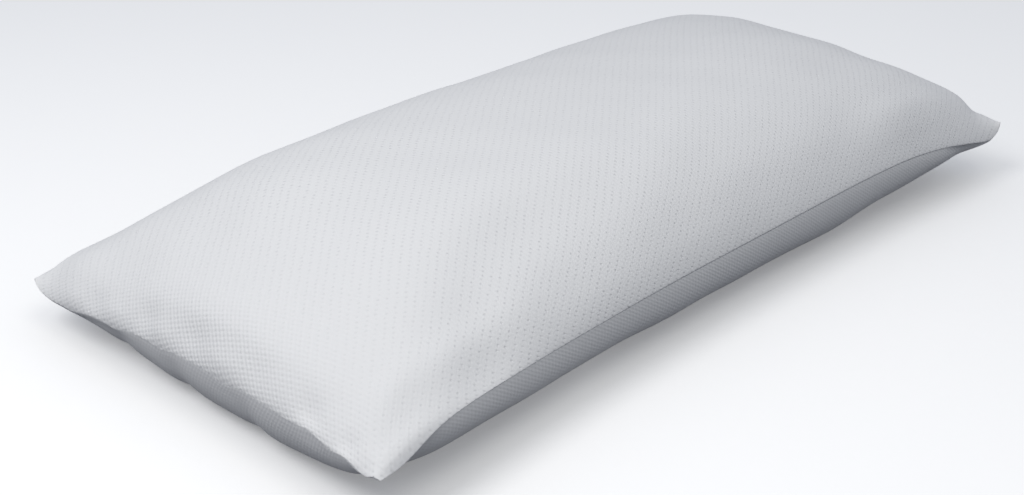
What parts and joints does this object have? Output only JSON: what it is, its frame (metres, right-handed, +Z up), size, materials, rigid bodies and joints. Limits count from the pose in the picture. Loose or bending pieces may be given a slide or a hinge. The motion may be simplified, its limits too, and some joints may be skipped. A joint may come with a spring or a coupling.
{
  "type": "memory foam pillow",
  "caption": "Plump rectangular bed pillow with a crowned top, drawn-in sides, four soft pointed corners and one seam all round.",
  "frame": {"origin": "on the surface that the pillow lies on, under the middle of its outline", "axes": "+X along the pillow's length, +Y across its width towards the back, +Z up out of the crown"},
  "size_m": [0.7026, 0.3516, 0.1268],
  "materials": {
    "knit_cover": "matte white knitted cover with rows of small pits"
  },
  "bodies": {
    "root": {"pillow": "knit_cover"}
  },
  "joints": []
}
